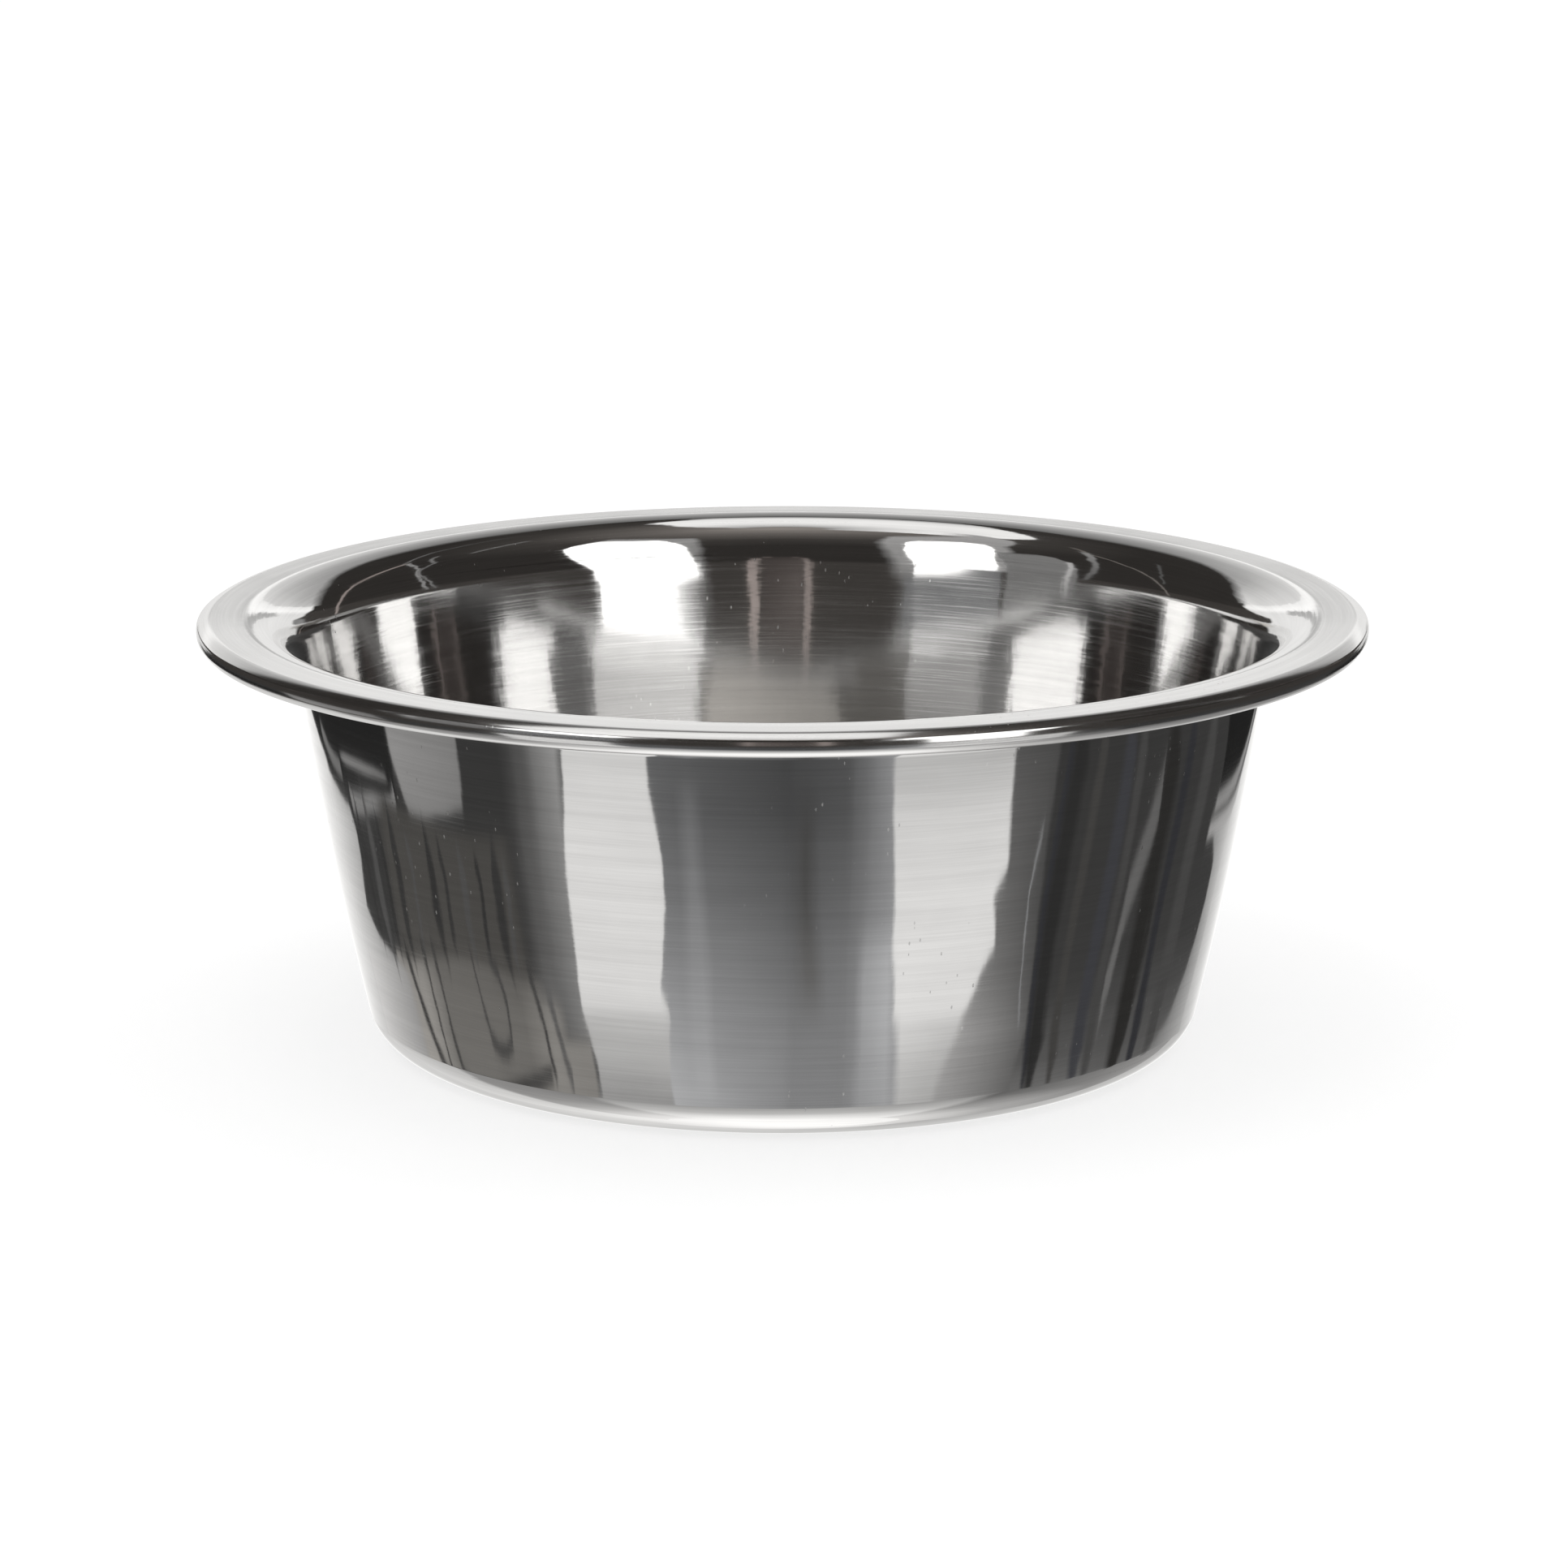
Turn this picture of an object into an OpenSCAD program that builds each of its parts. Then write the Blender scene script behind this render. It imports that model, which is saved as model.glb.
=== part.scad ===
// A round pet bowl, drawn from one sheet of stainless steel.
// Its wall tapers to a flat base with a raised panel, and turns out at the top
// into a wide level flange that ends in a rolled edge.
// The origin is on the axis, at the plane that the bowl stands on. Up is +Z.

/* [Sheet] */
// Thickness of the steel sheet
sheet_t = 0.5; // [0.4:0.05:1.2]

/* [Rim] */
// Diameter of the bowl over the rolled edge
rim_d = 254; // [200:1:320]
// From the wall's outer face out to the rim's outermost point, measured along the flange's top face
flange_w = 19.7; // [16:0.1:30]
// Radius of the lip where the wall turns out into the flange, on the side that shows from above
lip_r = 11.8; // [5:0.1:14]
// Diameter of the rolled edge
bead_d = 4.8; // [3.6:0.1:7]
// Angle that the sheet turns through in the rolled edge
curl_angle = 290; // [240:5:300]

/* [Wall] */
// Height from the floor to the flange's top face
bowl_h = 94.4; // [60:0.1:140]
// How far the wall draws in, on each side, from the flange's top face down to the floor
wall_draw_in = 17.9; // [8:0.1:26]
// How far the wall bulges out at half its height
wall_bulge = 1; // [0.4:0.1:3]

/* [Base] */
// Radius of the corner between the wall and the base, on the outside
corner_r = 10; // [5:0.5:20]
// Width of the level ring that the bowl stands on
foot_w = 7; // [3:0.5:20]
// Width of the sloping step between that ring and the raised panel
panel_step_w = 4; // [2:0.5:10]
// How far the panel stands above the floor
panel_rise = 1; // [0.4:0.1:3]

/* [Hidden] */

// Facets of a full turn about the axis, and the chords that each bend of the section is drawn with
turn_fn = 240;
corner_steps = 12;
wall_steps = 8;
lip_steps = 12;
degrees_per_bead_step = 10;

// Where the wall's outer face, drawn on as a curve, would meet the floor and the flange's top face
wall_top_r = rim_d / 2 - flange_w;
wall_foot_r = wall_top_r - wall_draw_in;

// The wall's outer face is an arc through those two points: its radius and its centre
chord = norm([wall_draw_in, bowl_h]);
wall_arc_r = (pow(chord / 2, 2) + pow(wall_bulge, 2)) / (2 * wall_bulge);
wall_arc_c = [(wall_top_r + wall_foot_r) / 2, bowl_h / 2]
    - (wall_arc_r - wall_bulge) * [bowl_h, -wall_draw_in] / chord;

// The corner's arc touches the floor and lies inside the wall's arc
corner_c = [wall_arc_c.x + leg(wall_arc_r - corner_r, corner_r - wall_arc_c.y), corner_r];

// The lip's arc touches the flange and lies outside the wall's arc
lip_c = [wall_arc_c.x + leg(wall_arc_r - sheet_t + lip_r, bowl_h - lip_r - wall_arc_c.y), bowl_h - lip_r];

// Directions, seen from the wall's centre, of the two places where these arcs meet the wall
corner_angle = angle_to(corner_c - wall_arc_c);
lip_angle = angle_to(lip_c - wall_arc_c);

// The rolled edge
bead_r = bead_d / 2;
bead_c = [rim_d / 2 - bead_r, bowl_h - bead_r];

// The raised panel ends where its step begins, inside the ring that the bowl stands on
foot_inner_r = corner_c.x - foot_w;
panel_r = foot_inner_r - panel_step_w;

// The other short side of a right triangle
function leg(long_side, short_side) = sqrt(pow(long_side, 2) - pow(short_side, 2));

// The direction of a vector, as an angle from the first axis
function angle_to(v) = atan2(v.y, v.x);

// Points along an arc, without its first point, which is the end of what comes before it
function arc(centre, r, from, to, steps) =
    [for (i = [1 : steps]) let (a = from + (to - from) * i / steps) centre + r * [cos(a), sin(a)]];

// One face of the sheet in section, from the axis out, up the wall and round the rolled edge.
// The lower and outer face has no inset, and the other face is set in by the sheet's thickness.
function face(inset) = concat(
    [
        [0, panel_rise + inset],
        [panel_r, panel_rise + inset],
        [foot_inner_r, inset],
        [corner_c.x, inset]
    ],
    arc(corner_c, corner_r - inset, -90, corner_angle, corner_steps),
    arc(wall_arc_c, wall_arc_r - inset, corner_angle, lip_angle, wall_steps),
    arc(lip_c, lip_r - sheet_t + inset, 180 + lip_angle, 90, lip_steps),
    [[bead_c.x, bowl_h - sheet_t + inset]],
    arc(bead_c, bead_r - sheet_t + inset, 90, 90 - curl_angle, ceil(curl_angle / degrees_per_bead_step))
);

function reversed(list) = [for (i = [len(list) - 1 : -1 : 0]) list[i]];

module bowl() {
    color("silver")
        rotate_extrude($fn = turn_fn)
            polygon(concat(face(0), reversed(face(sheet_t))));
}

bowl();
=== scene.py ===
import math
import random

import bpy
import numpy as np
from mathutils import Matrix, Vector


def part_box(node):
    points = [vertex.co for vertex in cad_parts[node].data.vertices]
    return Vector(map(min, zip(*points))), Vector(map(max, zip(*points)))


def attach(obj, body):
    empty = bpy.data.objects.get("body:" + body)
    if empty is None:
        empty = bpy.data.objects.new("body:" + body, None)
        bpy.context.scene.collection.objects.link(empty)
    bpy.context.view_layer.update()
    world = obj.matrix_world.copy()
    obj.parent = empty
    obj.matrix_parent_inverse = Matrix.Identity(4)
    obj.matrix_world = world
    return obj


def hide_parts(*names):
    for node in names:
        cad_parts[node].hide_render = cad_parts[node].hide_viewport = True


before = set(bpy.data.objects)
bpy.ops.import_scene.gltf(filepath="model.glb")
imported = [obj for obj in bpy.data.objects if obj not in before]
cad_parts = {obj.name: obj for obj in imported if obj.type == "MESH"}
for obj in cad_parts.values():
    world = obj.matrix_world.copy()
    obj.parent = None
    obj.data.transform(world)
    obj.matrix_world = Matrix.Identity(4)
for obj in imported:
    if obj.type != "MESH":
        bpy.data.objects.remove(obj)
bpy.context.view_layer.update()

# Sizes of the sheet's section, as the CAD model has them. The rim and the height come from its box.
bowl_low, bowl_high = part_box("bowl")
RIM_R = bowl_high.x
HEIGHT = bowl_high.z
SHEET = 0.0005
FLANGE_W = 0.0197
LIP_R = 0.0118
WALL_DRAW_IN = 0.0179
WALL_BULGE = 0.001
CORNER_R = 0.010
FOOT_W = 0.007
PANEL_STEP_W = 0.004
PANEL_RISE = 0.001

# The rolled edge: its bends' outer radii, and the angle that the sheet has turned through at the end of each
ROLL_BENDS = ((0.0033, 21), (0.0082, 34), (0.0007, 80), (0.005, 96), (0.0024, 165), (0.002, 290))

# How finely the sheet is meshed
SEGMENTS = 480
PANEL_RINGS = 10
STEP_RINGS = 12
FOOT_RINGS = 4
CORNER_RINGS = 22
WALL_RINGS = 44
LIP_RINGS = 30
FLANGE_RINGS = 5
ROLL_RINGS = 11
EDGE_RINGS = 3

# The faint unevenness that pressing leaves in the wall
WAVES = 14
WAVE_SLOPE = 0.0012
WAVE_TURNS = (3, 16)
WAVE_PITCH = (0.035, 0.12)
WAVE_RADIUS = 0.1
WAVE_SEED = 4

# The wall's upper end eases into the lip: by how much it leans back there, and over what height
EASE_ANGLE = 1.7
EASE_HEIGHT = 0.0055
LIP_END = 0.0848

# It does so at the back only: how far back that begins and is complete, as a share of the radius
EASE_SIDE = 0.84
EASE_BACK = 0.94

# Radii where the satin flange and the rolled edge begin and are complete, and heights for the smooth lip
SATIN_FROM_TO = (RIM_R - FLANGE_W + LIP_R * 0.6, RIM_R - FLANGE_W + LIP_R)
ROLL_FROM_TO = (RIM_R - 0.0045, RIM_R - 0.003)
LIP_FROM_TO = (LIP_END - 0.002, LIP_END + 0.003)

# The camera: where it stands, how it's turned, and its focal length, counted in the photo's pixels
PHOTO_PX = 1932
FOCAL_PX = 7121.64
SENSOR_MM = 36
CAMERA_PLACE = (0, -1.23316, 0.34084)
CAMERA_PITCH = 13.0451
CAMERA_YAW = 0.0131
CAMERA_ROLL = -0.0791


def unit(angle):
    """The direction at an angle in degrees, in the plane of the section."""
    return np.array([math.cos(math.radians(angle)), math.sin(math.radians(angle))])


def leg(long_side, short_side):
    """The other short side of a right triangle."""
    return math.sqrt(long_side ** 2 - short_side ** 2)


def angle_to(vector):
    """The direction of a vector in the section, in degrees."""
    return math.degrees(math.atan2(vector[1], vector[0]))


# The sheet's section

def roll_bends():
    """The rolled edge's bends, placed from the end of the flange's flat part, and how far they reach out."""
    centre = np.array([0.0, -ROLL_BENDS[0][0]])
    turned = 0
    reach = 0
    bends = []
    for i, (radius, end) in enumerate(ROLL_BENDS):
        if i:
            centre = centre + (ROLL_BENDS[i - 1][0] - radius) * unit(90 - turned)
        bends.append((centre, radius, 90 - turned, 90 - end))
        if turned <= 90 < end:
            reach = centre[0] + radius
        turned = end
    return bends, reach


def sheet_stations():
    """Stations along the sheet from the axis to the end of the rolled edge.

    Each is a point on the lower and outer face, and the direction from it to the upper and inner face.
    """
    wall_top_r = RIM_R - FLANGE_W
    wall_foot_r = wall_top_r - WALL_DRAW_IN
    chord = math.hypot(WALL_DRAW_IN, HEIGHT)
    wall_r = ((chord / 2) ** 2 + WALL_BULGE ** 2) / (2 * WALL_BULGE)
    wall_middle = np.array([(wall_top_r + wall_foot_r) / 2, HEIGHT / 2])
    wall_c = wall_middle - (wall_r - WALL_BULGE) * np.array([HEIGHT, -WALL_DRAW_IN]) / chord
    corner_c = np.array([wall_c[0] + leg(wall_r - CORNER_R, CORNER_R - wall_c[1]), CORNER_R])
    lip_z = HEIGHT - LIP_R
    lip_c = np.array([wall_c[0] + leg(wall_r - SHEET + LIP_R, lip_z - wall_c[1]), lip_z])
    corner_angle = angle_to(corner_c - wall_c)
    lip_angle = angle_to(lip_c - wall_c)
    foot_inner_r = corner_c[0] - FOOT_W
    panel_r = foot_inner_r - PANEL_STEP_W
    stations = []

    def base(start, end, steps):
        for i in range(steps):
            r = start + (end - start) * i / steps
            share = min(max((foot_inner_r - r) / PANEL_STEP_W, 0), 1)
            rise = PANEL_RISE * (1 - math.cos(math.pi * share)) / 2
            slope = -PANEL_RISE * math.pi * math.sin(math.pi * share) / (2 * PANEL_STEP_W)
            across = np.array([-slope, 1]) / math.hypot(slope, 1)
            stations.append((np.array([r, rise]), across))

    def bend(centre, radius, start, end, steps, outward):
        for i in range(steps):
            way = unit(start + (end - start) * i / steps)
            stations.append((centre + radius * way, way * outward))

    base(0, panel_r, PANEL_RINGS)
    base(panel_r, foot_inner_r, STEP_RINGS)
    base(foot_inner_r, corner_c[0], FOOT_RINGS)
    bend(corner_c, CORNER_R, -90, corner_angle, CORNER_RINGS, -1)
    bend(wall_c, wall_r, corner_angle, lip_angle, WALL_RINGS, -1)
    bend(lip_c, LIP_R - SHEET, 180 + lip_angle, 90, LIP_RINGS, 1)
    bends, reach = roll_bends()
    flat_end = RIM_R - reach
    for i in range(FLANGE_RINGS):
        r = lip_c[0] + (flat_end - lip_c[0]) * i / FLANGE_RINGS
        stations.append((np.array([r, HEIGHT - SHEET]), np.array([0.0, 1.0])))
    for centre, radius, start, end in bends:
        last_c = centre + np.array([flat_end, HEIGHT])
        bend(last_c, radius - SHEET, start, end, ROLL_RINGS, 1)
    stations.append((last_c + (radius - SHEET) * unit(end), unit(end)))
    return stations, corner_c[0], lip_c[0]


def smooth_share(value, start, end):
    """0 before start, 1 after end, and smooth between them."""
    share = np.clip((value - start) / (end - start), 0, 1)
    return share * share * (3 - 2 * share)


def unevenness(angle, path, rng):
    """Height of the pressed sheet's slow waves, and its slopes round the bowl and along the section."""
    height = np.zeros(np.broadcast(angle, path).shape)
    round_slope = height.copy()
    path_slope = height.copy()
    for _ in range(WAVES):
        turns = rng.randint(*WAVE_TURNS)
        pitch = rng.uniform(*WAVE_PITCH)
        phase = rng.uniform(0, 2 * math.pi)
        along = 2 * math.pi / pitch * rng.choice((-1, 1))
        steepest = math.hypot(turns / WAVE_RADIUS, along)
        size = WAVE_SLOPE / steepest
        wave = turns * angle + along * path + phase
        height += size * np.sin(wave)
        round_slope += size * turns * np.cos(wave)
        path_slope += size * along * np.cos(wave)
    return height, round_slope, path_slope


# The sheet as one closed mesh

def sheet_rings():
    """Rings of points, normals and path lengths round the whole sheet, over both faces and the cut edge."""
    stations, flat_r, lip_r = sheet_stations()
    points = np.array([p for p, _ in stations])
    across = np.array([a for _, a in stations])
    path = np.concatenate([[0], np.cumsum(np.linalg.norm(np.diff(points, axis=0), axis=1))])
    wavy_from = path[np.argmax(points[:, 0] > flat_r)]
    lip_at = path[np.argmax((points[:, 0] > lip_r - LIP_R) & (points[:, 1] > HEIGHT - LIP_R))]
    rows = [(points[i], across[i], -across[i], path[i], 0.0) for i in range(len(points))]
    end, way = points[-1], across[-1]
    onward = np.array([way[1], -way[0]])
    for i in range(1, EDGE_RINGS + 1):
        turn = math.pi * i / (EDGE_RINGS + 1)
        out = -math.cos(turn) * way + math.sin(turn) * onward
        place = end + way * SHEET / 2 + out * SHEET / 2
        rows.append((place, way, out, path[-1], 0.5))
    for i in reversed(range(len(points))):
        rows.append((points[i] + across[i] * SHEET, across[i], across[i], path[i], 1.0))
    section = np.array([r[0] for r in rows])
    wave_way = np.array([r[1] for r in rows])
    normal = np.array([r[2] for r in rows])
    path = np.array([r[3] for r in rows])
    side = np.array([r[4] for r in rows])
    amount = smooth_share(path, wavy_from, wavy_from + 2 * CORNER_R)
    amount = amount * (1 - smooth_share(path, lip_at, lip_at + LIP_R))
    return section, wave_way, normal, path, side, amount


def eased(section, side, back):
    """How far each normal eases from the wall into the lip, from 0 to 1. back is how far back it stands."""
    height = section[:, 1]
    upper = (side == 1) & (height > HEIGHT / 2) & (section[:, 0] < RIM_R - FLANGE_W)
    ease = np.where(upper, smooth_share(height, LIP_END - EASE_HEIGHT, LIP_END), 0)
    ease = ease * (1 - smooth_share(height, LIP_END, LIP_END + EASE_HEIGHT / 2))
    return ease[:, None] * smooth_share(back, EASE_SIDE, EASE_BACK)


def turn_round(section, wave_way, normal, path, side, amount):
    """Points and normals of every ring turned round the axis, with the waves pressed into them."""
    angle = np.linspace(0, 2 * math.pi, SEGMENTS, endpoint=False)[None, :]
    wave, round_slope, path_slope = unevenness(angle, path[:, None], random.Random(WAVE_SEED))
    wave = wave * amount[:, None]
    radius = section[:, :1] + wave_way[:, :1] * wave
    height = section[:, 1:] + wave_way[:, 1:] * wave
    cos_a, sin_a = np.cos(angle), np.sin(angle)
    places = np.stack([radius * cos_a, radius * sin_a, height], axis=-1)
    facing = np.sign((normal * wave_way).sum(axis=1))[:, None] * amount[:, None]
    round_tilt = facing * round_slope / np.maximum(section[:, :1], SHEET)
    path_tilt = facing * path_slope - math.radians(EASE_ANGLE) * eased(section, side, sin_a)
    along = np.stack([wave_way[:, 1], -wave_way[:, 0]], axis=-1)
    normal_r = normal[:, :1] - path_tilt * along[:, :1]
    normal_z = normal[:, 1:] - path_tilt * along[:, 1:]
    normal_x = normal_r * cos_a + round_tilt * sin_a
    normal_y = normal_r * sin_a - round_tilt * cos_a
    normals = np.stack([normal_x, normal_y, normal_z], axis=-1)
    normals /= np.linalg.norm(normals, axis=-1, keepdims=True)
    return places, normals


def sheet_faces(rings):
    """The faces between the rings, and those round the two poles, whose points come last."""
    faces = []
    for i in range(rings - 1):
        ring = i * SEGMENTS
        for j in range(SEGMENTS):
            k = (j + 1) % SEGMENTS
            faces.append((ring + j, ring + k, ring + SEGMENTS + k, ring + SEGMENTS + j))
    last_ring = (rings - 1) * SEGMENTS
    pole = rings * SEGMENTS
    for j in range(SEGMENTS):
        k = (j + 1) % SEGMENTS
        faces.append((pole, k, j))
        faces.append((pole + 1, last_ring + j, last_ring + k))
    return faces


def build_sheet():
    """The bowl's sheet, with the values that its material reads."""
    section, wave_way, normal, path, side, amount = sheet_rings()
    places, normals = turn_round(section, wave_way, normal, path, side, amount)
    last = len(section) - 1
    poles = [[0, 0, section[0][1]], [0, 0, section[last][1]]]
    vertices = np.concatenate([places[1:last].reshape(-1, 3), poles])
    normals = np.concatenate([normals[1:last].reshape(-1, 3), [[0, 0, -1], [0, 0, 1]]])
    mesh = bpy.data.meshes.new("bowl_sheet")
    mesh.from_pydata(vertices.tolist(), [], sheet_faces(last - 1))
    mesh.shade_smooth()
    for name, values in (
            ("sheet_path", path), ("upper_face", side),
            ("rim", smooth_share(section[:, 0], *SATIN_FROM_TO)),
            ("roll", smooth_share(section[:, 0], *ROLL_FROM_TO)),
            ("lip", smooth_share(section[:, 1], *LIP_FROM_TO))):
        values = np.concatenate([np.repeat(values[1:last], SEGMENTS), values[[0, last]]])
        mesh.attributes.new(name, "FLOAT", "POINT").data.foreach_set("value", values.astype(np.float32))
    mesh.normals_split_custom_set_from_vertices(normals.tolist())
    bowl = bpy.data.objects.new("bowl_sheet", mesh)
    bpy.context.scene.collection.objects.link(bowl)
    return bowl


# The steel's colour in the dark and light lines of its brushing
STEEL_DARK = (0.61, 0.605, 0.6, 1)
STEEL_LIGHT = (0.71, 0.706, 0.7, 1)

# How rough the wall and the base are on the outside and the inside
ROUGH_OUTSIDE = 0.036
ROUGH_INSIDE = 0.066

# What the lip, the flange, the rolled edge, the spots, the clouds and the finest lines add to that
ROUGH_LIP = -0.026
ROUGH_FLANGE = 0.075
ROUGH_ROLL = 0.01
ROUGH_SPOTS = 0.3
ROUGH_CLOUDS = (-0.006, 0.012)
ROUGH_HAIRS = 0.045

# The part of a spot that is at its full strength
SPOT_CORE = 0.6

# Heights of the brushing's lines, and how far faint lines and upright streaks turn the normal to the side
BROAD_LIFT = 0.0000025
FINE_LIFT = 0.0000006
LINE_SWAY = 0.003
STREAK_SWAY = 0.004

# What the steel shows of itself is followed to this reflection, and a small even glow stands for the rest
LAST_FOLLOWED = 4
REST_GLOW = 0.04


def node(tree, kind, **settings):
    """A new shader node with its settings, and its inputs' values by name or number."""
    made = tree.nodes.new(kind)
    for name, value in settings.pop("inputs", {}).items():
        made.inputs[name].default_value = value
    for name, value in settings.items():
        setattr(made, name, value)
    return made


def noise(tree, place, scale, detail, roughness=0.5):
    """Plain noise."""
    made = node(tree, "ShaderNodeTexNoise", inputs={"Scale": scale, "Detail": detail, "Roughness": roughness})
    tree.links.new(place, made.inputs["Vector"])
    return made.outputs["Fac"]


def stretched(tree, place, factors):
    """A place with each of its coordinates multiplied."""
    made = node(tree, "ShaderNodeVectorMath", operation="MULTIPLY")
    made.inputs[1].default_value = factors
    tree.links.new(place, made.inputs[0])
    return made.outputs[0]


def brushed(tree, position, path, round_scale, path_scale, detail):
    """Noise drawn out into lines that run round the bowl's axis."""
    lift = node(tree, "ShaderNodeCombineXYZ")
    tree.links.new(scaled(tree, path, path_scale), lift.inputs["Z"])
    place = node(tree, "ShaderNodeVectorMath", operation="ADD")
    tree.links.new(stretched(tree, position, (round_scale, round_scale, 0)), place.inputs[0])
    tree.links.new(lift.outputs[0], place.inputs[1])
    return noise(tree, place.outputs[0], 1, detail, 0.6)


def ranged(tree, value, to_low, to_high, from_low=0, from_high=1):
    """A value carried from one range to another and kept inside it."""
    made = node(tree, "ShaderNodeMapRange")
    ends = (("From Min", from_low), ("From Max", from_high), ("To Min", to_low), ("To Max", to_high))
    for name, number in ends:
        made.inputs[name].default_value = number
    tree.links.new(value, made.inputs["Value"])
    return made.outputs["Result"]


def scaled(tree, value, number, operation="MULTIPLY"):
    """A value times a number, or put together with it in another way."""
    made = node(tree, "ShaderNodeMath", operation=operation)
    made.inputs[1].default_value = number
    tree.links.new(value, made.inputs[0])
    return made.outputs[0]


def product(tree, first, second, operation="MULTIPLY"):
    """Two values multiplied, or put together in another way."""
    made = node(tree, "ShaderNodeMath", operation=operation)
    tree.links.new(first, made.inputs[0])
    tree.links.new(second, made.inputs[1])
    return made.outputs[0]


def specks(tree, place, scale, size, share):
    """Small round spots, 1 inside them, scattered over a share of the surface's cells."""
    cells = node(tree, "ShaderNodeTexVoronoi", inputs={"Scale": scale})
    tree.links.new(place, cells.inputs["Vector"])
    spot = ranged(tree, cells.outputs["Distance"], 0, 1, size, size * SPOT_CORE)
    pick = node(tree, "ShaderNodeSeparateColor")
    tree.links.new(cells.outputs["Color"], pick.inputs[0])
    return product(tree, spot, scaled(tree, pick.outputs[0], share, "LESS_THAN"))


def over(tree, value, limit):
    """1 where a value is over a number, and 0 elsewhere."""
    return scaled(tree, value, limit, "GREATER_THAN")


def reflections(tree):
    """How many times a ray was reflected on its way here."""
    return node(tree, "ShaderNodeLightPath").outputs["Glossy Depth"]


def steel_tint(tree, broad, fine, clouds):
    """The colour, darker and lighter along the brushing."""
    tint = node(tree, "ShaderNodeMix", data_type="RGBA")
    tint.inputs["A"].default_value = STEEL_DARK
    tint.inputs["B"].default_value = STEEL_LIGHT
    lines = product(tree, broad, product(tree, fine, clouds, "ADD"), "ADD")
    tree.links.new(ranged(tree, lines, 0, 1, 1.15, 1.85), tint.inputs["Factor"])
    return tint.outputs["Result"]


def steel_spots(tree, place):
    """Small spots in groups, a little taller than wide."""
    groups = ranged(tree, noise(tree, place, 22, 1), 0, 1, 0.54, 0.65)
    return product(tree, specks(tree, stretched(tree, place, (1, 1, 0.4)), 900, 0.2, 0.17), groups)


def steel_roughness(tree, fine, clouds, spots, inside, rim, roll, lip):
    """How rough the steel is on each part of the sheet, with its finest lines and its spots."""
    rough = product(tree, ranged(tree, clouds, *ROUGH_CLOUDS, 0.3, 0.7),
                    ranged(tree, inside, ROUGH_OUTSIDE, ROUGH_INSIDE), "ADD")
    for part, amount in ((lip, ROUGH_LIP), (rim, ROUGH_FLANGE), (roll, ROUGH_ROLL), (spots, ROUGH_SPOTS)):
        rough = product(tree, rough, scaled(tree, part, amount), "ADD")
    hairs = product(tree, ranged(tree, fine, 0, ROUGH_HAIRS, 0.5, 0.66), ranged(tree, inside, 0.3, 1))
    return product(tree, rough, product(tree, hairs, ranged(tree, rim, 1, 0.3)), "ADD")


def steel_facing(tree, tangent, broad, fine, sideways, upright, inside, rim, lip):
    """The steel's normal: bumped by the brushing, and swayed to the side by faint lines and streaks."""
    lift = product(tree, scaled(tree, broad, BROAD_LIFT), scaled(tree, fine, FINE_LIFT), "ADD")
    lift = product(tree, lift, ranged(tree, inside, 0.14, 0.5))
    lift = product(tree, lift, ranged(tree, rim, 1, 0.1))
    bump = node(tree, "ShaderNodeBump", inputs={"Strength": 1, "Distance": 1})
    tree.links.new(lift, bump.inputs["Height"])
    sway = ranged(tree, sideways, -LINE_SWAY, LINE_SWAY, 0.3, 0.7)
    sway = product(tree, sway, ranged(tree, inside, 0.2, 1))
    streaks = ranged(tree, upright, -STREAK_SWAY, STREAK_SWAY, 0.3, 0.7)
    streaks = product(tree, streaks, ranged(tree, inside, 0.5, 1))
    streaks = product(tree, streaks, ranged(tree, lip, 1, 0.4))
    sway = product(tree, product(tree, sway, streaks, "ADD"), ranged(tree, rim, 1, 0))
    drift = node(tree, "ShaderNodeVectorMath", operation="SCALE")
    facing = node(tree, "ShaderNodeVectorMath", operation="ADD")
    level = node(tree, "ShaderNodeVectorMath", operation="NORMALIZE")
    link = tree.links.new
    link(tangent, drift.inputs[0])
    link(sway, drift.inputs["Scale"])
    link(bump.outputs[0], facing.inputs[0])
    link(drift.outputs[0], facing.inputs[1])
    link(facing.outputs[0], level.inputs[0])
    return level.outputs[0]


def steel_material():
    """Polished stainless steel with fine brushing round the axis."""
    material = bpy.data.materials.new("brushed_steel")
    material.use_nodes = True
    tree = material.node_tree
    link = tree.links.new
    sockets = tree.nodes["Principled BSDF"].inputs
    sockets["Metallic"].default_value = 1
    sockets["Anisotropic"].default_value = 0.55
    sockets["Anisotropic Rotation"].default_value = 0.25
    tangent = node(tree, "ShaderNodeTangent", direction_type="RADIAL", axis="Z").outputs[0]
    link(tangent, sockets["Tangent"])
    place = node(tree, "ShaderNodeTexCoord").outputs["Object"]
    path, inside, rim, roll, lip = [
        node(tree, "ShaderNodeAttribute", attribute_name=name).outputs["Fac"]
        for name in ("sheet_path", "upper_face", "rim", "roll", "lip")]

    fine = brushed(tree, place, path, 30, 2600, 3)
    broad = brushed(tree, place, path, 12, 500, 2)
    sideways = brushed(tree, place, path, 24, 1500, 2)
    upright = brushed(tree, place, path, 520, 22, 2)
    clouds = noise(tree, place, 35, 4, 0.55)
    link(steel_tint(tree, broad, fine, clouds), sockets["Base Color"])
    rough = steel_roughness(tree, fine, clouds, steel_spots(tree, place), inside, rim, roll, lip)
    link(rough, sockets["Roughness"])
    facing = steel_facing(tree, tangent, broad, fine, sideways, upright, inside, rim, lip)
    link(facing, sockets["Normal"])
    # Painted reflection: past the last followed reflection the steel glows evenly, in place of what it would
    # show
    rest = scaled(tree, over(tree, reflections(tree), LAST_FOLLOWED - 0.5), REST_GLOW)
    link(rest, sockets["Emission Strength"])
    return material


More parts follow.
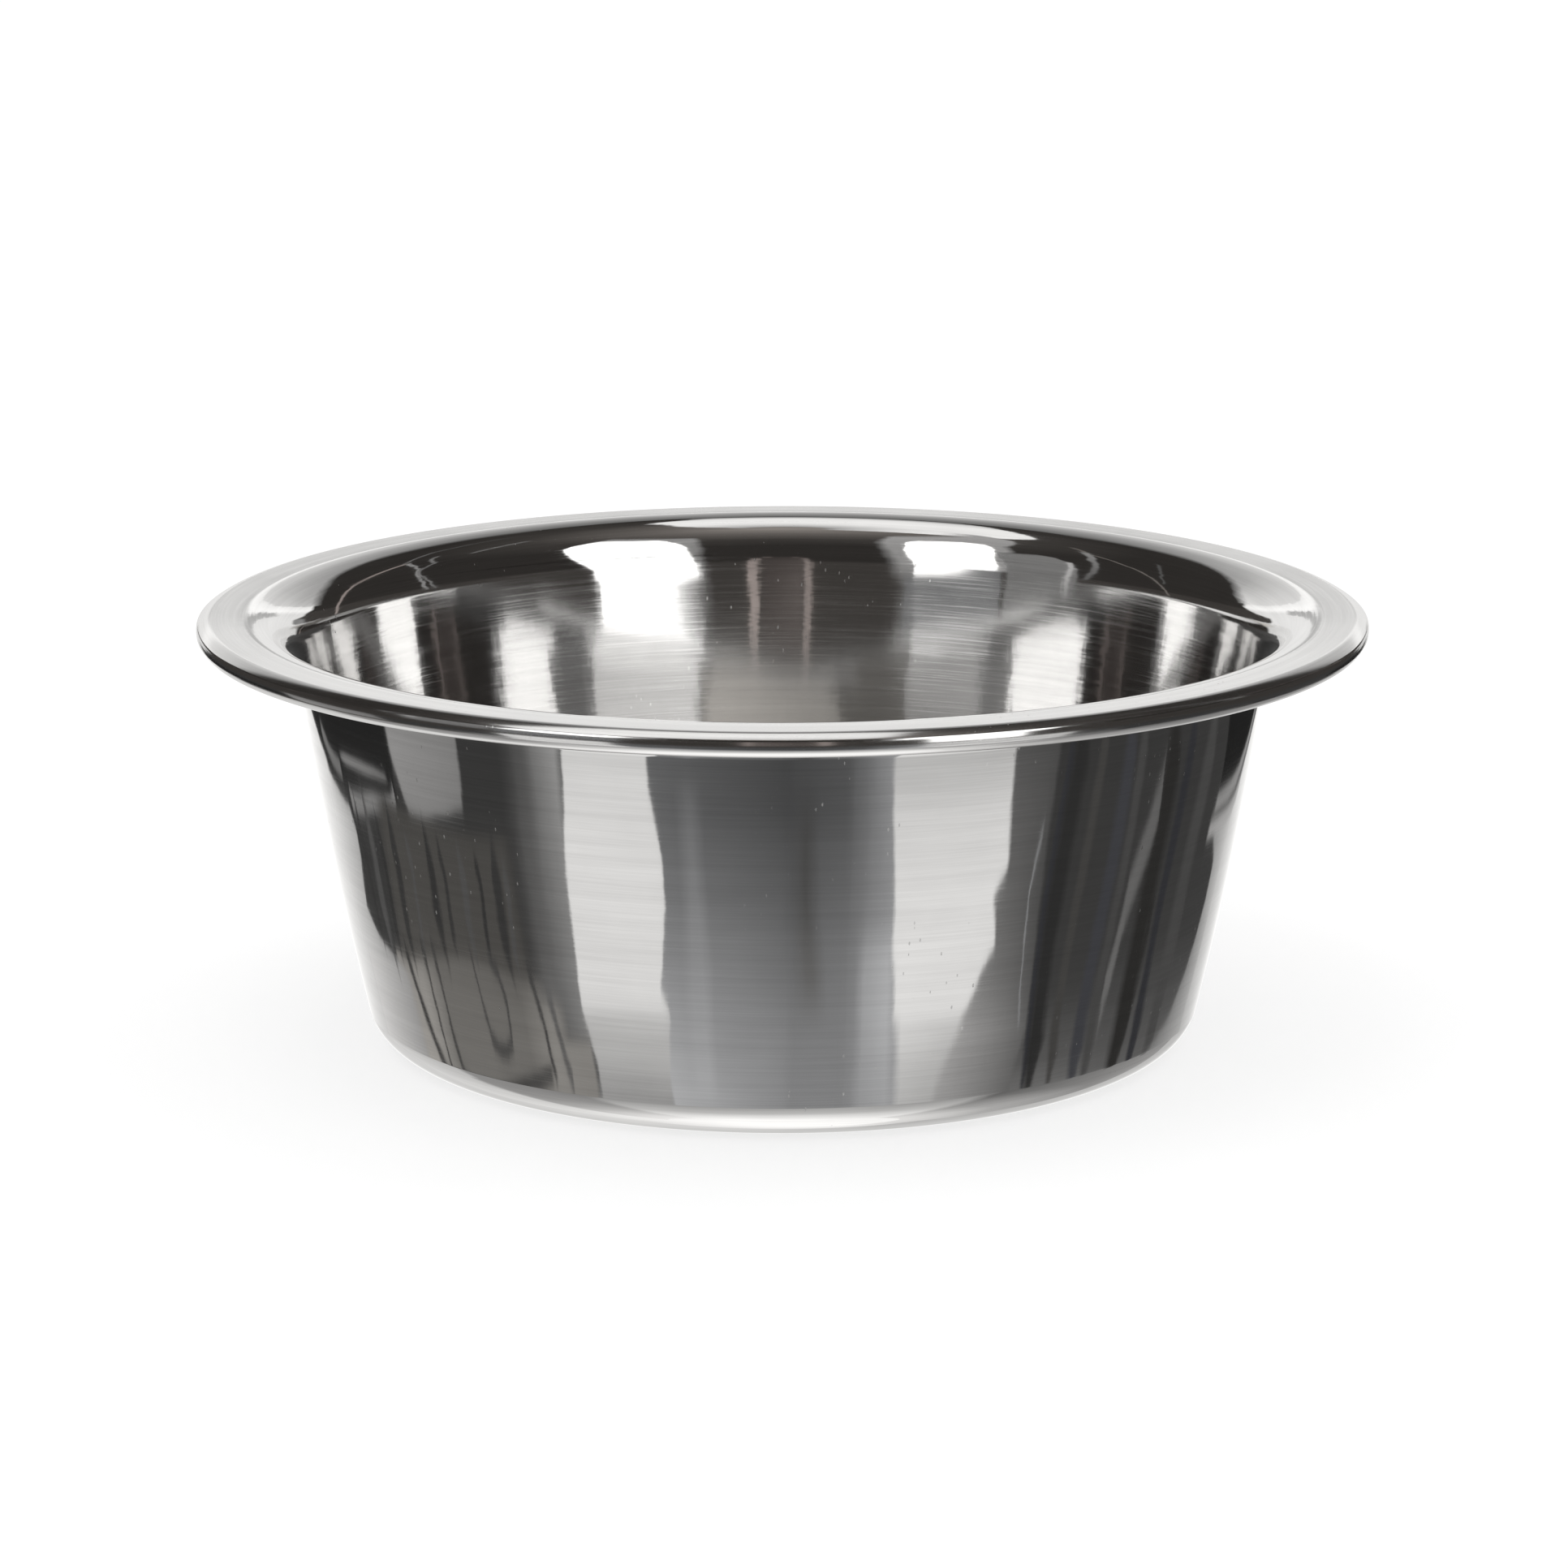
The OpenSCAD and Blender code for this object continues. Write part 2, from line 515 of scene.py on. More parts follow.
# The studio. Only its direction counts, so the cards stand far away. Azimuths and elevations are in degrees:
# azimuth 0 is the camera's side, and positive azimuths are to the camera's right.
CARD_R = 24
CARD_STEP = 3
CARD_GAP = 0.15
LEAST_WIDTH = 1e-6

# Places across a thread, in halves of its width, and how far it covers what stands behind it there
THREAD_SECTION = ((-1, 0), (-0.4, 1), (0.4, 1), (1, 0))

# How bright the lamps' heads are, as the first reflection shows them and as later ones do
LAMP_LEVEL = 2.3
DEEP_LAMP_LEVEL = 2.1

# What the outside wall shows: the elevation below the horizon, by the height on the wall in millimetres
FOOT_SHOWS = 42.8
SHOWN_PER_MM = 0.1453
SIDE_SHARE = 0.35


def low(azimuth, height):
    """The elevation that the outside wall shows at a height in millimetres, towards an azimuth."""
    share = SIDE_SHARE + (1 - SIDE_SHARE) * math.cos(math.radians(azimuth / 2))
    return -(FOOT_SHOWS - SHOWN_PER_MM * height) * share


def high(_, elevation):
    """An elevation as it is."""
    return elevation


def new_material(name):
    """A new material and its empty shader tree. It isn't sampled as a lamp."""
    material = bpy.data.materials.new(name)
    material.use_nodes = True
    material.node_tree.nodes.clear()
    material.cycles.emission_sampling = "NONE"
    return material, material.node_tree


def glow_material(name, first):
    """A card's light: its glow is in the mesh, and so is how much of it covers what stands behind.

    It counts from a ray's first reflection on. From a later one on, it lights what the steel shows of itself.
    """
    material, tree = new_material(name)
    link = tree.links.new
    glow = node(tree, "ShaderNodeAttribute", attribute_name="glow")
    share = node(tree, "ShaderNodeAttribute", attribute_name="cover").outputs["Fac"]
    light = node(tree, "ShaderNodeEmission")
    clear = node(tree, "ShaderNodeBsdfTransparent")
    mix = node(tree, "ShaderNodeMixShader")
    out = node(tree, "ShaderNodeOutputMaterial")
    link(glow.outputs["Color"], light.inputs["Color"])
    if first > 1:
        share = product(tree, share, over(tree, reflections(tree), first - 0.5))
    link(share, mix.inputs["Fac"])
    link(clear.outputs[0], mix.inputs[1])
    link(light.outputs[0], mix.inputs[2])
    link(mix.outputs[0], out.inputs["Surface"])
    return material


GLOW = glow_material("studio_glow", 1)
DEEP_GLOW = glow_material("studio_deep_glow", 2)
THIRD_GLOW = glow_material("studio_third_glow", 3)
card_count = 0
WHITE = (1.0, 0.995, 0.985)
GREY = (1.0, 0.99, 0.98)
PALE = (0.985, 0.995, 1.015)
WARM = (1.08, 0.99, 0.92)
BROWN = (1.14, 0.98, 0.92)
SAND = (1.04, 1.0, 0.94)
STRIPE_TINTS = ((0.96, 0.98, 1.1), (1.0, 0.99, 0.98), (1.03, 1.0, 0.96))


def next_distance():
    """How far away the next card stands: each is a little nearer than the one before it."""
    global card_count
    card_count += 1
    return CARD_R - card_count * CARD_GAP


def way_to(azimuth, elevation):
    """The direction towards an azimuth and an elevation."""
    turn = math.radians(azimuth)
    lift = math.radians(elevation)
    return np.array([math.sin(turn) * math.cos(lift), -math.cos(turn) * math.cos(lift), math.sin(lift)])


def grid_faces(rows, columns):
    """The faces between rows of points."""
    corners = [i * columns + j for i in range(rows - 1) for j in range(columns - 1)]
    return [(k, k + 1, k + columns + 1, k + columns) for k in corners]


def card_marks(heights, soft_ends):
    """The heights of a card's points: its rows' own, some between them, and where its ends fade."""
    span = heights[-1] - heights[0]
    count = max(2, int(abs(span) / CARD_STEP) + 1)
    marks = set(heights) | {heights[0] + span * i / count for i in range(count + 1)}
    if soft_ends:
        marks |= {heights[0] + math.copysign(soft_ends, span), heights[-1] - math.copysign(soft_ends, span)}
    return sorted(marks, reverse=span < 0)


def card(name, rows, where=low, tint=GREY, soft=0.4, soft_ends=0, glow=GLOW):
    """A card that only reflections see. Later cards stand in front of earlier ones.

    Each row is a height, the azimuths of the card's two sides, and how bright it is, or is at each side.
    soft is how wide its sides fade, in degrees, and soft_ends is that for its two ends, in rows' units.
    """
    distance = next_distance()
    heights = [row[0] for row in rows]
    known = np.array([(*row, row[-1])[:5] for row in rows], float)[np.argsort(heights)]
    steps = max(1, int(max(row[2] - row[1] for row in rows) / CARD_STEP))
    shares = [0] + [1] * (steps + 1) + [0] if soft else [1] * (steps + 3)
    marks = card_marks(heights, soft_ends)
    vertices, glows, covers = [], [], []
    for mark in marks:
        left, right, left_glow, right_glow = [np.interp(mark, known[:, 0], known[:, k]) for k in range(1, 5)]
        inner = max(right - left - 2 * soft, 0)
        places = [left] + [left + soft + inner * i / steps for i in range(steps + 1)] + [right]
        end_share = 1
        if soft_ends:
            end_share = min(1, min(abs(mark - heights[0]), abs(heights[-1] - mark)) / soft_ends)
        for place, share in zip(places, shares):
            vertices.append(distance * way_to(place, where(place, mark)))
            level = left_glow + (right_glow - left_glow) * (place - left) / max(right - left, LEAST_WIDTH)
            glows += [level * tint[0], level * tint[1], level * tint[2], 1]
            covers.append(share * end_share)
    return hang(name, vertices, grid_faces(len(marks), steps + 3), glows, covers, glow)


def thread(name, points, width, level, where=low, tint=GREY, steps=5):
    """A thin line of light or dark along a path of azimuths and heights. Its level may change along it."""
    distance = next_distance()
    levels = level if isinstance(level, tuple) else (level, level)
    marks = np.linspace(0, len(points) - 1, (len(points) - 1) * steps + 1)
    numbers = np.arange(len(points))
    azimuths = np.interp(marks, numbers, [p[0] for p in points])
    heights = np.interp(marks, numbers, [p[1] for p in points])
    ways = np.array([way_to(azimuth, where(azimuth, height)) for azimuth, height in zip(azimuths, heights)])
    across = np.cross(ways, np.gradient(ways, axis=0))
    across /= np.linalg.norm(across, axis=1, keepdims=True)
    half = math.radians(width) / 2
    last = len(ways) - 1
    vertices, glows, covers = [], [], []
    for i, way in enumerate(ways):
        shade = levels[0] + (levels[1] - levels[0]) * i / last
        for share, cover in THREAD_SECTION:
            vertices.append(distance * (way + half * share * across[i]))
            glows += [shade * tint[0], shade * tint[1], shade * tint[2], 1]
            covers.append(cover if 0 < i < last else 0)
    return hang(name, vertices, grid_faces(len(ways), len(THREAD_SECTION)), glows, covers, GLOW)


def hang(name, vertices, faces, glows, covers, glow):
    """A card's mesh, put where only reflections see it."""
    mesh = bpy.data.meshes.new("card_" + name)
    mesh.from_pydata(vertices, [], faces)
    mesh.attributes.new("glow", "FLOAT_COLOR", "POINT").data.foreach_set("color", glows)
    mesh.attributes.new("cover", "FLOAT", "POINT").data.foreach_set("value", covers)
    mesh.materials.append(glow)
    made = bpy.data.objects.new("card_" + name, mesh)
    bpy.context.scene.collection.objects.link(made)
    made.visible_camera = False
    made.visible_diffuse = False
    made.visible_shadow = False
    made.visible_transmission = False
    return made


def between(left, right, *rows):
    """A card's rows, each a height and its brightness, that all have the same two sides."""
    return [(row[0], left, right, *row[1:]) for row in rows]


def level_at(level, *rows):
    """A card's rows, each a height and its two sides, that are all as bright."""
    return [(*row, level) for row in rows]


def cards_under():
    """What shows from under the bowl."""
    card("under", between(-185, 185, (-90, 1.5), (-76, 1.45), (-65, 1.07), (-56, 0.74), (-46, 0.57),
         (-38, 0.4)), high, WHITE, 0)
    card("under_right", between(62, 155, (-74, 1.1, 1.15), (-60, 0.5, 0.6), (-50, 0.34, 0.48),
         (-44, 0.2, 0.4), (-35, 0.12, 0.45), (-20, 0.1, 0.42)), high, GREY, 8)
    card("under_left", between(-114, -58, (-74, 1.25), (-60, 0.62), (-52, 0.48, 0.42), (-42, 0.42, 0.33),
         (-30, 0.4, 0.3)), high, GREY, 6)
    card("under_far_left", between(-165, -110, (-74, 1.4), (-60, 1.15, 1.0), (-45, 1.05, 0.8),
         (-18, 0.9, 0.6)), high, WHITE, 6)


def cards_behind():
    """The studio's dark side, from the horizon to high up, and its pale back."""
    card("dark_front", between(-152, 152, (-20, 0.06), (10, 0.04), (16, 0.036)), high, WARM)
    card("dark_above", between(-185, 185, (15, 0.036), (45, 0.036), (60, 0.06), (66, 0.1), (70, 0.13),
         (76, 0.18), (83, 0.26), (88, 0.34), (90, 0.36)), high, WARM, 0)
    card("dark_back", between(-190, 190, (2, 0.06), (11, 0.06)), high, WARM)
    card("back_side", between(153, 166, (3, 0.27), (8, 0.3)), high, WHITE, 3, 1)
    card("back", [(-66, 145, 215, 0.62, 1.15), (-40, 145, 215, 0.66, 0.85), (-26, 145, 215, 0.62, 0.85),
         (-14, 145, 215, 0.62, 0.85), (-4, 147, 213, 0.85), (3, 159, 201, 0.95), (5, 162, 198, 0.98),
         (7, 161, 200, 1.0), (9, 153.5, 209.5, 1.0), (10.5, 152, 214, 0.98), (12.5, 148, 217, 1.3),
         (16, 148, 215, 1.05)], high, WHITE, 2)
    card("back_level", between(169, 191, (9.6, 0.6), (12, 0.5)), high, WHITE, 3, 0.4)
    card("back_high", [(15, 144, 219, 0.75, 1.0), (19, 145, 219, 0.6, 0.95), (22, 146, 218, 0.55, 0.85),
         (27, 149, 214, 0.5, 0.6), (32, 156, 208, 0.42, 0.48), (36, 161, 202, 0.36, 0.4),
         (47, 165, 199, 0.2, 0.2)], high, WHITE, 7)
    card("back_middle", between(162, 198, (-34, 0.95), (-22, 1.1), (-3, 0.95)), high, WHITE, 9, 4)
    card("overhead", [(48, 176, 188, 0.35), (52, 174.5, 194, 0.7), (55, 172, 199, 1.1),
         (58.5, 167, 211, 1.25), (60.5, 164.5, 230, 1.25), (64, 162.5, 247, 1.27), (68, 158, 258, 1.25),
         (73, 149, 270, 1.2), (78, 140, 278, 1.0), (82, 132, 288, 0.75), (86, 110, 300, 0.45)],
         high, WHITE, 1.6, 2)


def cards_left():
    """The band that the outside wall shows, from the back round to the left lamp."""
    card("dark_low", between(-152, 152, (4, 0.26), (12, 0.14), (22, 0.11), (35, 0.065), (60, 0.058),
         (90, 0.055), (190, 0.05)), low, GREY, 1, 4)
    card("left_low", between(-128, -57, (3, 0.5, 0.28), (14, 0.46, 0.32), (28, 0.4, 0.3),
         (35.5, 0.36, 0.2)), low, SAND, 1, 1)
    card("left_low_middle", between(-116, -70, (3, 0.27, 0.25), (10, 0.24, 0.23), (24, 0.22, 0.21),
         (33, 0.2, 0.17), (36, 0.16, 0.12)), low, SAND, 9, 1)
    card("left_low_far", [(3, -152, -122, 0.88, 0.45), (30, -152, -122, 0.85, 0.42),
         (33, -152, -127, 0.85, 0.44), (35, -152, -132, 0.85, 0.47)], low, GREY, 3, 0.5)
    card("left_pale", between(-180, -148, (3, 1.0, 0.76), (14, 1.2, 0.78), (90, 1.45, 0.85)), low, WHITE, 2)
    card("left_pale_side", [(31, -152, -129, 0.85, 0.45), (34, -152, -132, 0.85, 0.48),
         (37, -152, -137, 0.85, 0.54), (42, -152, -141, 0.85, 0.58), (47, -152, -139, 0.86, 0.57),
         (54, -152, -136.5, 0.88, 0.55), (58, -152, -136, 0.9, 0.54), (63, -152, -137.5, 0.9, 0.56),
         (66.5, -152, -145, 0.92, 0.65), (69, -152, -149, 0.92, 0.8)], low, WHITE, 0.6, 0.3)


def cards_left_top():
    """Dark shapes near the wall's top at the left."""
    card("left_wedge", [(65.5, -142, -131, 0.07), (67, -145, -121, 0.05), (69, -147, -111, 0.04),
         (74, -152, -111, 0.03), (82, -157, -110, 0.025), (150, -160, -110, 0.02)], low, GREY, 0.7, 0.5)
    card("left_wedge_patch", [(72.2, -134, -127, 0.18), (73.4, -137, -113.5, 0.32),
         (74.6, -138, -114, 0.34), (75.8, -134, -125, 0.22)], low, GREY, 1.2, 0.7)
    thread("left_wedge_edge", ((-148.5, 78), (-146, 75.3), (-144, 72.8), (-141, 71.6), (-138, 70.6)),
           0.5, 0.24, low)
    thread("left_wedge_line", ((-135.5, 65), (-134, 64.2), (-129.4, 64.4), (-123.7, 65.9), (-117.6, 66.7),
           (-114, 67.8), (-112.5, 70), (-112.3, 73)), 0.55, 0.33, low)
    card("left_patch", [(67.6, -107.5, -105, 0.3), (70.8, -108.8, -96, 0.34),
         (74.4, -109.6, -86.5, 0.4, 0.3), (81, -111, -85.5, 0.4, 0.3), (95, -112, -85, 0.36, 0.27),
         (190, -112, -85, 0.36, 0.27)], low, GREY, 0.8, 0.4)


def cards_left_dark():
    """The dark part at the left, with the lines that hang down in it."""
    card("left_dark_round", [(33, -126, -72, 0.1), (60, -124, -72, 0.095), (69, -122, -72, 0.085)],
         low, SAND, 4, 2)
    for i, azimuth in enumerate((-134, -129, -124, -118, -112, -104, -99, -92, -86, -80, -77)):
        end = (63, 59, 61)[i % 3]
        path = ((azimuth - 1, 36), (azimuth, 45), (azimuth + 1, 55), (azimuth, end))
        thread("left_dark_%d" % (i + 1), path, (1.3, 3.0, 1.5, 2.4)[i % 4], (0.055, 0.11, 0.05)[i % 3])
    for i, (width, level, path) in enumerate((
            (0.9, 0.055, ((-122, 38), (-120.9, 31), (-119.9, 25.3), (-118.1, 19.4), (-116.5, 13.5),
                          (-114, 7.9), (-108, 4.5))),
            (0.75, 0.06, ((-114, 38), (-112.8, 32.5), (-112.6, 25.7), (-112.2, 18.7), (-111.6, 8.3))),
            (0.8, 0.065, ((-109.4, 38), (-108.4, 31.6), (-108.1, 26.4), (-107.6, 17.8), (-106.2, 9.3),
                          (-103.1, 6.6), (-94, 6), (-86.5, 7.5), (-78, 9.5), (-71.8, 12))),
            (0.6, 0.08, ((-94.6, 37), (-94, 33.9), (-93.6, 26), (-92.6, 18.3), (-90.3, 16.2), (-87.8, 16),
                         (-85.6, 18), (-84.9, 21.2), (-84.1, 26), (-85.2, 33), (-88, 36))),
            (1.0, 0.07, ((-74.5, 38), (-73.4, 32.9), (-72.4, 26.2), (-72, 18.4), (-71.1, 9.5))),
            (1.4, 0.15, ((-69.5, 35), (-68.3, 30), (-67.6, 23.2), (-66.5, 14.6), (-65.5, 9))))):
        thread("left_droop_%d" % (i + 1), path, width, level)
    card("left_fade", between(-74, -57, (30, 0.14, 0.3), (40, 0.09, 0.27), (90, 0.07, 0.2),
         (120, 0.07, 0.18)), low, GREY, 5, 3)


def cards_front():
    """The band's grey middle, and the left lamp's lower end beside it."""
    card("front", between(-36, 3, (3, 0.62, 0.34), (11, 0.62, 0.33), (21, 0.56, 0.31), (38, 0.42, 0.23),
         (55, 0.29, 0.165), (76, 0.19, 0.088), (95, 0.16, 0.075), (190, 0.14, 0.07)), low, PALE, 0.4, 3)
    card("front_middle", between(0, 20, (3, 0.32, 0.31), (21, 0.3, 0.3), (38, 0.22, 0.28), (55, 0.15, 0.23),
         (76, 0.088, 0.13), (190, 0.075, 0.1)), low, PALE, 3, 3)
    card("front_right", between(15, 38, (3, 0.3, 0.5), (21, 0.29, 0.5), (38, 0.25, 0.56), (55, 0.19, 0.48),
         (76, 0.11, 0.5), (190, 0.09, 0.4)), low, PALE, 3, 3)
    card("front_stripe", [(24, 3, 13, 0.22), (40, 2, 12, 0.18), (60, 2, 10, 0.105), (85, 2, 9, 0.075)],
         low, GREY, 4, 14)
    card("front_band", [(10, -28, -19, 0.6), (40, -28, -19, 0.4), (60, -27, -20, 0.3),
         (85, -27, -20, 0.17)], low, PALE, 3, 6)
    card("left_lamp_side", between(-67, -55, (20, 0.14, 0.24), (30, 0.15, 0.38), (60, 0.15, 0.4),
         (95, 0.15, 0.5)), low, WHITE, 3, 4)
    card("left_lamp_low", [(3, -57, -33, 0.38), (8, -56.5, -33.5, 0.42), (15, -56.5, -34, 0.58),
         (22, -57.5, -33, 0.66), (28.5, -58.5, -32, 0.7), (31.5, -59, -32, 0.98), (36, -59, -34, 1.03),
         (55, -58.5, -31, 1.03), (63, -58, -31, 1.03), (80, -56, -33, 0.95), (90, -56, -33, 0.8),
         (200, -56, -33, 1.1)], low, WHITE, 0.6, 2)


def cards_right():
    """The band from the right lamp's lower end round to the back."""
    card("right_grey", [(3, 38, 72, 0.52, 0.16), (12, 38, 72, 0.56, 0.17), (17, 40, 73, 0.56, 0.17),
         (25, 46, 74, 0.58, 0.16), (31, 50, 73.5, 0.42, 0.14), (36, 54, 73.5, 0.32, 0.12),
         (55, 56, 72.5, 0.24, 0.1), (90, 56, 70.5, 0.13, 0.1), (150, 56, 69, 0.1, 0.09)], low, GREY, 1, 2)
    card("right_lamp_side", [(3, 20, 34, 0.4, 0.5), (20, 20, 33, 0.42, 0.6), (30, 20, 33, 0.44, 0.68),
         (44, 20, 32, 0.42, 0.66), (55, 20, 32, 0.26, 0.46), (76, 20, 31, 0.2, 0.46),
         (110, 20, 31, 0.16, 0.44)], low, PALE, 3, 3)
    card("right_lamp_foot", [(3, 33, 47, 0.6, 0.5), (12, 33, 48, 0.7, 0.54), (17, 33, 49, 0.76, 0.6),
         (26, 32, 53, 0.94, 0.74), (33, 31.5, 54, 1.05, 1.0)], low, WHITE, 2.4, 2)
    card("right_lamp_low", [(28.5, 31.6, 52, 1.04), (33, 31.5, 54.6, 1.08), (40, 31, 57, 1.08),
         (45, 30, 60, 1.07), (50, 29.5, 59.4, 1.07), (55, 29.3, 58, 1.07), (62, 28.5, 61.2, 1.03),
         (76, 27.5, 59.6, 0.94), (85, 27, 58.7, 0.7), (95, 27, 58, 0.62), (200, 27, 58, 0.9)],
         low, WHITE, 0.9, 2)
    for i, (place, width, shade) in enumerate((
            (73.6, 2.2, 0.05), (76.5, 5.5, 0.038), (83.5, 3.2, 0.075), (93, 5, 0.07), (97.5, 3.6, 0.085),
            (110, 8, 0.034), (117, 4, 0.045), (127, 7, 0.085))):
        path = ((place + 3, 7), (place + 1, 22), (place, 45), (place + 0.4, 65), (place + 1, 90))
        thread("right_stripe_%d" % (i + 1), path, width, shade, low, STRIPE_TINTS[i % 3])
    thread("right_line", ((70.8, 24), (69.3, 36), (68.6, 48), (68.4, 60), (69.5, 68)),
           0.55, (0.3, 0.36), low, PALE)
    thread("right_curve", ((100.5, 26), (101.5, 38), (101.5, 46), (104, 56), (107, 68), (108, 74)),
           2.6, (0.2, 0.16), low, GREY)
    card("right_pale", [(3, 120, 154, 0.28, 0.6), (12, 127, 154, 0.24, 0.55), (20, 137, 154, 0.26, 0.55),
         (27, 141.5, 154, 0.28, 0.58), (33, 143.5, 154, 0.3, 0.64), (42, 144.6, 154, 0.4, 0.72),
         (51, 144, 154, 0.42, 0.74), (57, 140, 154, 0.36, 0.74), (59.3, 136.4, 154, 0.36, 0.74),
         (61.5, 143, 154, 0.42, 0.76), (63.8, 150.5, 154, 0.6, 0.8), (66, 153.5, 156, 0.75, 0.85)],
         low, WHITE, 0.8, 1)
    card("right_white", [(3, 150, 180, 0.55, 1.0), (14, 150, 180, 0.55, 1.2), (62, 151, 180, 0.72, 1.5),
         (69, 155, 180, 0.85, 1.5), (77, 158, 180, 1.0, 1.5), (90, 162, 180, 1.3, 1.5)], low, WHITE, 1.4, 2)


def cards_right_top():
    """Dark shapes near the wall's top at the right."""
    card("right_strip", [(59.3, 135, 136.5, 0.13), (61, 135.2, 143, 0.13), (62.5, 135.5, 148.5, 0.13),
         (64, 135.8, 151.5, 0.13), (66, 136.5, 154, 0.12), (70, 149, 155.5, 0.13), (76, 153.5, 158, 0.13),
         (90, 158, 162.5, 0.12)], low, GREY, 0.5)
    card("right_wedge", [(65.6, 136.7, 138.5, 0.03), (67, 137, 146, 0.03), (70.5, 137.4, 152, 0.025),
         (76, 137, 154.6, 0.02), (82, 136, 157, 0.02), (90, 134, 159, 0.02), (150, 134, 162, 0.02)],
         low, GREY, 0.5)
    thread("right_wedge_line", ((136.8, 65.8), (141, 66.7), (146, 67.8), (150.5, 70), (153.5, 73.4),
           (156, 78), (158, 85)), 0.5, 0.36, low)
    thread("right_strip_line", ((135.4, 59.2), (142, 60.4), (148, 61.8), (152.5, 64.2), (155.5, 68)),
           0.45, 0.5, low)


def cards_lamps():
    """Above the horizon: the two lamps' heads, and what stands round them."""
    card("right_lamp_halo", [(7, 17.5, 46, 0.33), (18, 19, 50, 0.33), (40, 20.5, 62, 0.33),
         (50, 24, 71, 0.35), (60, 28, 76, 0.4), (67, 34, 80, 0.34)], high, GREY, 3, 2)
    card("left_lamp_halo", [(6, -60, -26, 0.4), (30, -66, -25.5, 0.4), (45, -72, -27, 0.42),
         (56, -82, -30, 0.42), (63, -110, -36, 0.46), (69, -122, -46, 0.5), (72, -126, -60, 0.5)],
         high, GREY, 4, 4)
    card("right_lamp_high", level_at(LAMP_LEVEL, (-10, 27, 46.5), (6.9, 27, 46.5), (7.5, 25, 47.2),
         (8.1, 21.5, 48), (8.6, 19.3, 48.3), (10, 20.2, 48.8), (13, 21, 50), (17, 21.6, 51.2),
         (24, 22.5, 54.2), (34, 24.3, 59), (44, 27, 65.5), (50, 30, 71.5), (56, 35, 75), (60, 41, 75.5),
         (63, 48, 74)), high, WHITE, 0.8, 1)
    card("left_lamp_high", level_at(LAMP_LEVEL, (8.2, -55, -32.6), (20, -56.3, -32.2), (32, -58, -32.4),
         (40, -61.5, -33.6), (46, -65, -35.6), (54, -72, -39.5), (58, -74, -43), (61.5, -69, -51)),
         high, WHITE, 0.6, 0.4)
    card("left_lamp_under", between(-56, -30, (-8, 0.2), (8.2, 0.22)), high, PALE, 0.8)
    card("left_side_high", [(-4, -76, -56, 0.24), (12, -79, -57, 0.24), (20, -80, -58, 0.25),
         (34, -84, -60, 0.26), (42, -84, -62, 0.26), (46, -80, -66, 0.2)], high, GREY, 1, 2)
    thread("left_side_line", ((-74, 2), (-75.5, 12), (-78, 22), (-82, 32), (-84, 37)), 2.4, 0.6, high)


def cards_curls():
    """Above the horizon: thin curved lines at both sides."""
    thread("curl_left_foot", ((135.5, 4), (135, 13), (135.2, 21.5), (135.9, 28.7), (134.5, 36.5),
           (133.5, 43)), 2, 0.36, high, BROWN, 8)
    thread("curl_left_far", ((134, 42), (139.7, 44.9), (146, 47.4), (147.7, 49.8), (150.2, 51.5),
           (156, 54)), 1.1, (0.26, 0.1), high)
    thread("curl_left", ((133.5, 43), (124, 41), (116, 38), (108, 30), (101, 20), (97, 8)),
           1.3, 0.36, high, GREY, 8)
    thread("curl_left_inner", ((133, 48), (117, 43), (113, 36), (104, 27), (98, 19), (94, 8)),
           1.1, 0.26, high, GREY, 8)
    thread("curl_left_upper", ((117, 51), (122, 57), (128, 61)), 1.5, 0.3, high)
    thread("curl_right", ((-121, 56), (-110, 50), (-108.5, 42), (-108.4, 34), (-108, 24), (-109, 5)),
           1.3, 0.2, high, WARM)
    thread("curl_right_inner", ((-113, 52), (-104, 47), (-97.6, 41.7), (-90, 32), (-84, 20.5), (-80, 8)),
           2.4, (0.36, 0.14), high)
    thread("curl_right_outer", ((-131, 42), (-122, 37), (-114, 30), (-110, 20)), 1.3, 0.12, high)


def cards_bars():
    """Above the horizon: the narrow bars between the lamps."""
    card("front_gap", between(-5, 6, (-10, 0.16, 0.08), (7.5, 0.13, 0.07), (9, 0.1, 0.07),
         (22, 0.06, 0.05)), high, BROWN, 0.6, 1)
    card("front_bar_left", [(-10, 6.3, 9.3, 0.42), (8, 6.3, 9.3, 0.42), (12, 6, 9, 0.3),
         (20, 5.4, 8.2, 0.2)], high, BROWN, 0.8, 2)
    card("front_bar_right", [(-10, -7.7, -5, 0.34), (8, -7.7, -5, 0.34), (12, -7.3, -4.6, 0.24),
         (20, -6.6, -4, 0.16)], high, BROWN, 0.8, 2)
    card("front_bar_top", [(19.5, 2.5, 6.5, 0.15), (22, 3, 6, 0.13)], high, BROWN, 0.8, 0.8)
    card("front_bar_end", [(19, -4.5, -1.5, 0.12), (21.5, -4, -2, 0.12)], high, BROWN, 0.8, 0.8)


def deep_card(name, tint, soft, rows):
    """A card that counts from a ray's second reflection on."""
    card("deep_" + name, rows, high, tint, soft, 2, DEEP_GLOW)


